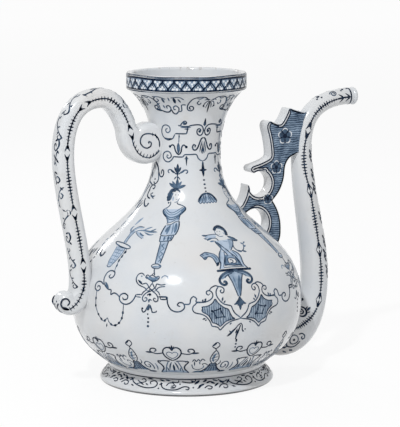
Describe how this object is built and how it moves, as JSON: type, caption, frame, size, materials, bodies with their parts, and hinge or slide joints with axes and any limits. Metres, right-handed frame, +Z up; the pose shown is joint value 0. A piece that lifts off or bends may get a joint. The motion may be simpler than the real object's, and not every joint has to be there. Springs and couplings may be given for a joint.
{
  "type": "coffee pot",
  "caption": "Tin-glazed earthenware coffee pot with a pear-shaped body on a foot ring, scrolled handle, swan-neck spout and pierced bridge, painted in blue.",
  "frame": {"origin": "centre of the foot's resting face, on the axis of the body", "axes": "+Z up along the body's axis, +X towards the spout, -X towards the handle, -Y the side shown in the picture"},
  "size_m": [0.287, 0.194, 0.26],
  "materials": {
    "white_glaze": "gloss",
    "cobalt_blue": "gloss"
  },
  "bodies": {
    "root": {"foot_ring": "white_glaze", "lower_bowl": "white_glaze", "shoulder": "white_glaze", "neck": "white_glaze", "mouth_collar": "white_glaze", "handle_grip": "white_glaze", "handle_upper_scroll": "white_glaze", "handle_lower_scroll": "white_glaze", "spout_elbow": "white_glaze", "spout_tube": "white_glaze", "spout_lip": "white_glaze", "bridge_bracket": "cobalt_blue"}
  },
  "joints": []
}
